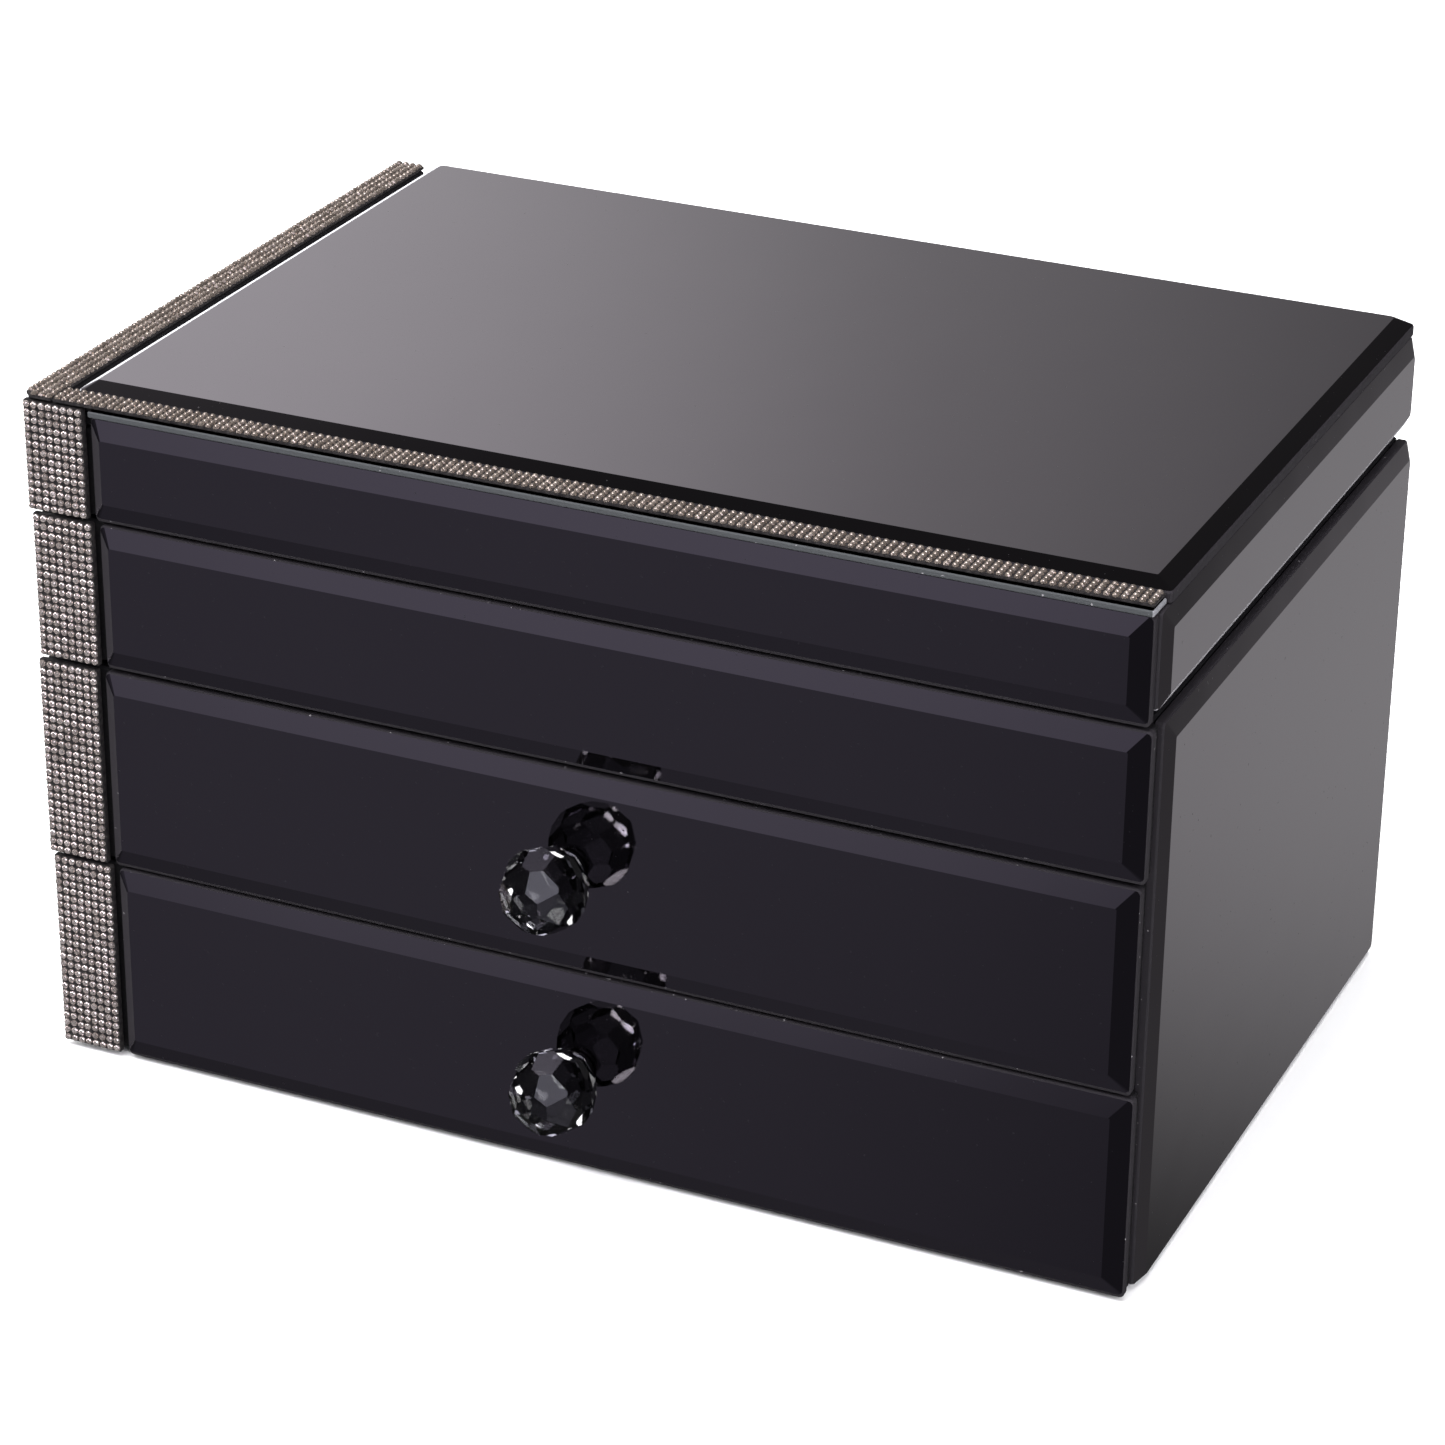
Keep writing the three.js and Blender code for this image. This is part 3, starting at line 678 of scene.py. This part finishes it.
# %% [markdown]
# ## Hinge screws
# Each hinge leaf is held by two screws with low slotted heads. They could be drawn as a bump on the
# leaf, but they stand proud and catch the light from behind. A head is a low dome of rings, and the
# points that lie in the slot are pushed down.

# %% A screw head
HEAD_RADIUS = 2.1 * MM
HEAD_HEIGHT = 0.55 * MM
HEAD_FALLS = 0.92             # how far the dome falls towards its rim, from 0 to 1
SLOT_HALF_WIDTH = 0.32 * MM
SLOT_LEAVES = 0.35            # part of the height that is left in the slot
HEAD_SIDES, HEAD_RINGS = 36, 9


def screw_head(made, middle, turn):
    """A slotted dome that looks towards +Y."""
    rings = []
    for ring in range(HEAD_RINGS + 1):
        part = ring / HEAD_RINGS
        for side in range(HEAD_SIDES if ring else 1):
            angle = math.tau * side / HEAD_SIDES
            height = HEAD_HEIGHT * math.sqrt(1 - HEAD_FALLS * part ** 4) if part < 1 else 0.0
            if abs(HEAD_RADIUS * part * math.sin(angle)) < SLOT_HALF_WIDTH:
                height *= SLOT_LEAVES
            x, z = math.cos(angle + turn), math.sin(angle + turn)
            spot = Vector((x * HEAD_RADIUS * part, height, z * HEAD_RADIUS * part))
            rings.append(made.verts.new(middle + spot))
    for ring in range(1, HEAD_RINGS + 1):
        for side in range(HEAD_SIDES):
            a, b = (1 + (ring - 1) * HEAD_SIDES + (side + step) % HEAD_SIDES for step in (0, 1))
            if ring == 1:
                made.faces.new([rings[0], rings[b], rings[a]])
            else:
                made.faces.new([rings[a - HEAD_SIDES], rings[b - HEAD_SIDES], rings[b], rings[a]])
    made.faces.new(rings[-HEAD_SIDES:])


print("a screw head is", 2 * HEAD_RADIUS / MM, "mm across")

# %% Set the screws
SCREWS_APART = 17.0 * MM
SCREW_FROM_PIN = 9.0 * MM
LEAF_STANDS = 1.12 * MM       # from the back board to the outer face of a leaf
SCREW_SEED, LARGEST_TURN = 7, 3.1      # a slot looks the same after half a turn

dice = random.Random(SCREW_SEED)
leaf_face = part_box("back_board")[1][1] + LEAF_STANDS
for side in ("left", "right"):
    pin_low, pin_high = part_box(f"hinge_pin_{side}")
    pin_middle = [(low + high) / 2 for low, high in zip(pin_low, pin_high)]
    for leaf, body, sign in (("body", "carcass", -1), ("lid", "lid", 1)):
        made = bmesh.new()
        for step in (-0.5, 0.5):
            x, z = pin_middle[0] + step * SCREWS_APART, pin_middle[2] + sign * SCREW_FROM_PIN
            screw_head(made, Vector((x, leaf_face, z)), dice.uniform(0, LARGEST_TURN))
        bmesh.ops.recalc_face_normals(made, faces=made.faces)
        name = f"hinge_screws_{leaf}_{side}"
        screws = new_piece(name, as_mesh(name, made), [nickel_finish], body)
        print(name, "set on the", body)

# %% [markdown]
# ## Ring rolls
# Three soft rolls hold rings in the gaps between them. A plain extrusion looks like wood. Each roll
# starts as a slightly thin copy of its solid, is rebuilt in even small squares, and is blown up a
# little as cloth, so that its top is crowned and its ends draw in as stuffed velvet does.

# %% The blank of a roll
ROLL_SLIMMER = Vector((3.2, 2.4, 2.2)) * MM     # room for the swelling, both sides together
ROLL_ROUNDED = 7.0 * MM


def roll_blank(node, low, high):
    """A bar with a rounded top, a little inside the box of a ring roll."""
    middle, size = (low + high) / 2, high - low - ROLL_SLIMMER
    made = bmesh.new()
    for vertex in bmesh.ops.create_cube(made, size=1.0)["verts"]:
        vertex.co = [m + c * s for m, c, s in zip(middle, vertex.co, size)]
    upper = [edge for edge in made.edges if all(v.co.z > middle.z for v in edge.verts)]
    bmesh.ops.bevel(made, geom=upper, offset=ROLL_ROUNDED, segments=6, affect="EDGES")
    return as_mesh(node, made)


def apply_modifiers(piece):
    """Puts the shape that the modifiers give in place of the mesh, and takes them off."""
    seen_now = piece.evaluated_get(bpy.context.evaluated_depsgraph_get())
    shaped = bpy.data.meshes.new_from_object(seen_now)
    piece.modifiers.clear()
    old, piece.data = piece.data, shaped
    bpy.data.meshes.remove(old)


def smooth(piece):
    """Shades a piece as one soft surface, without facets."""
    for face in piece.data.polygons:
        face.use_smooth = True


print("a blank is rounded by", ROLL_ROUNDED / MM, "mm")

# %% Stuff the rolls
ROLL_CELL = 2.2 * MM
ROLL_SWELL = 1.2 * MM
STUFFING_PRESSURE = 4.0
STUFFING_FRAMES = 12
ROLL_MARGIN = 0.05 * MM


def stuff(piece):
    """Rebuilds a piece in even cells and swells it as cloth, but no further than the cap."""
    even = piece.modifiers.new("even", "REMESH")
    even.mode, even.voxel_size = "VOXEL", ROLL_CELL
    apply_modifiers(piece)
    before = [vertex.co.copy() for vertex in piece.data.vertices]
    cloth = piece.modifiers.new("cloth", "CLOTH")
    cloth.settings.use_pressure = True
    cloth.settings.uniform_pressure_force = STUFFING_PRESSURE
    cloth.settings.effector_weights.gravity = 0.0
    cloth.settings.quality = 4
    cloth.point_cache.frame_end = STUFFING_FRAMES
    for moment in range(1, STUFFING_FRAMES + 1):
        bpy.context.scene.frame_set(moment)
    apply_modifiers(piece)
    bpy.context.scene.frame_set(1)
    for vertex, start in zip(piece.data.vertices, before):
        moved = vertex.co - start
        if moved.length > ROLL_SWELL:
            vertex.co = start + moved.normalized() * ROLL_SWELL


def keep_inside(piece, low, high, margin):
    """Flattens a piece against the box that it sits in."""
    for vertex in piece.data.vertices:
        vertex.co = [min(max(c, l + margin), h - margin) for c, l, h in zip(vertex.co, low, high)]


for node in ("ring_roll_1", "ring_roll_2", "ring_roll_3"):
    low, high = (Vector(corner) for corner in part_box(node))
    roll = new_piece(f"{node}_stuffed", roll_blank(node, low, high), [], "carcass")
    stuff(roll)
    keep_inside(roll, low, high, ROLL_MARGIN)
    soften = roll.modifiers.new("soften", "SUBSURF")
    soften.levels = soften.render_levels = 1
    apply_modifiers(roll)
    roll.data.materials.clear()
    roll.data.materials.append(velvet_finish)
    smooth(roll)
    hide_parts(node)
    print(node, "stuffed,", len(roll.data.vertices), "points")

# %% [markdown]
# ## Velvet linings
# The tray and both drawers are lined with velvet over thin card. Each lining is an open box with soft
# inner corners. Painting the boards as velvet would leave their joints and hard edges showing, so the
# lining is a piece of its own, fitted a hair inside the boards.

# %% Lining maker
LINING_THICK = 1.2 * MM
LINING_ROUNDED = 1.6 * MM
RIM_ROUNDED = 0.35 * MM
SHARP_FROM = math.radians(50)


def lining(name, body, low, high):
    """An open box of velvet between two corners, up to the higher one."""
    made = bmesh.new()
    block(made, low, high)
    lid = [face for face in made.faces if face.normal.z > 0.9]
    bmesh.ops.delete(made, geom=lid, context="FACES")
    lower = [edge for edge in made.edges if not edge.is_boundary]
    bmesh.ops.bevel(made, geom=lower, offset=LINING_ROUNDED, segments=4, affect="EDGES")
    piece = new_piece(name, as_mesh(name, made), [], body)
    shell = piece.modifiers.new("shell", "SOLIDIFY")
    shell.thickness, shell.offset = LINING_THICK, -1.0
    rim = piece.modifiers.new("rim", "BEVEL")
    rim.width, rim.segments, rim.limit_method = RIM_ROUNDED, 2, "ANGLE"
    apply_modifiers(piece)
    piece.data.materials.append(velvet_finish)
    smooth(piece)
    piece.data.set_sharp_from_angle(angle=SHARP_FROM)


def inner_corners(left, right, front, back, under, top, gap):
    """Corners of the space between four walls, above a floor and up to a height."""
    low = (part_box(left)[1][0] + gap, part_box(front)[1][1] + gap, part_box(under)[1][2] + gap)
    high = (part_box(right)[0][0] - gap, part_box(back)[0][1] - gap, top)
    return low, high


print("a lining is", LINING_THICK / MM, "mm thick")

# %% [markdown]
# ## Lining the drawers and the tray
# The corners of a lining are read from the boards round it, so that it fits whatever they are. They
# could be written down as numbers, but would then have to be changed with the boards. In a drawer the
# lining stays clear of the knob's screw, and in the tray there is one lining to each cell.

# %% Line the drawers
DRAWER_GAP = 0.3 * MM
DRAWER_RIM_BELOW = 1.0 * MM       # the lining ends this far under the rim of the drawer
KNOB_SCREW_ROOM = 2.3 * MM        # behind the front board, for the head of the knob's screw

for drawer in ("drawer_upper", "drawer_lower"):
    rim_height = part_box(f"{drawer}_back")[1][2] - DRAWER_RIM_BELOW
    low, high = inner_corners(f"{drawer}_side_left", f"{drawer}_side_right", f"{drawer}_front_board",
                              f"{drawer}_back", f"{drawer}_bottom", rim_height, DRAWER_GAP)
    lining(f"{drawer}_lining", drawer, (low[0], low[1] + KNOB_SCREW_ROOM, low[2]), high)
    print(drawer, "lined,", round((high[0] - low[0]) * 1000), "mm wide")

# %% Line the tray
TRAY_GAP = 0.15 * MM
TRAY_RIM_ABOVE = 2.5 * MM         # the lining rises this far over the dividers
TRAY_CELLS = {  # the parts to the left, to the right and in front of each cell
    "right": ("tray_divider_long", "side_board_right", "tray_front_board"),
    "left": ("side_board_left", "tray_divider_long", "tray_divider_cross"),
}

tray_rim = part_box("tray_divider_cross")[1][2] + TRAY_RIM_ABOVE
for cell, walls in TRAY_CELLS.items():
    low, high = inner_corners(*walls, "back_board", "tray_floor_board", tray_rim, TRAY_GAP)
    lining(f"tray_lining_{cell}", "carcass", low, high)
    print(cell, "cell of the tray lined,", round((high[0] - low[0]) * 1000), "mm wide")
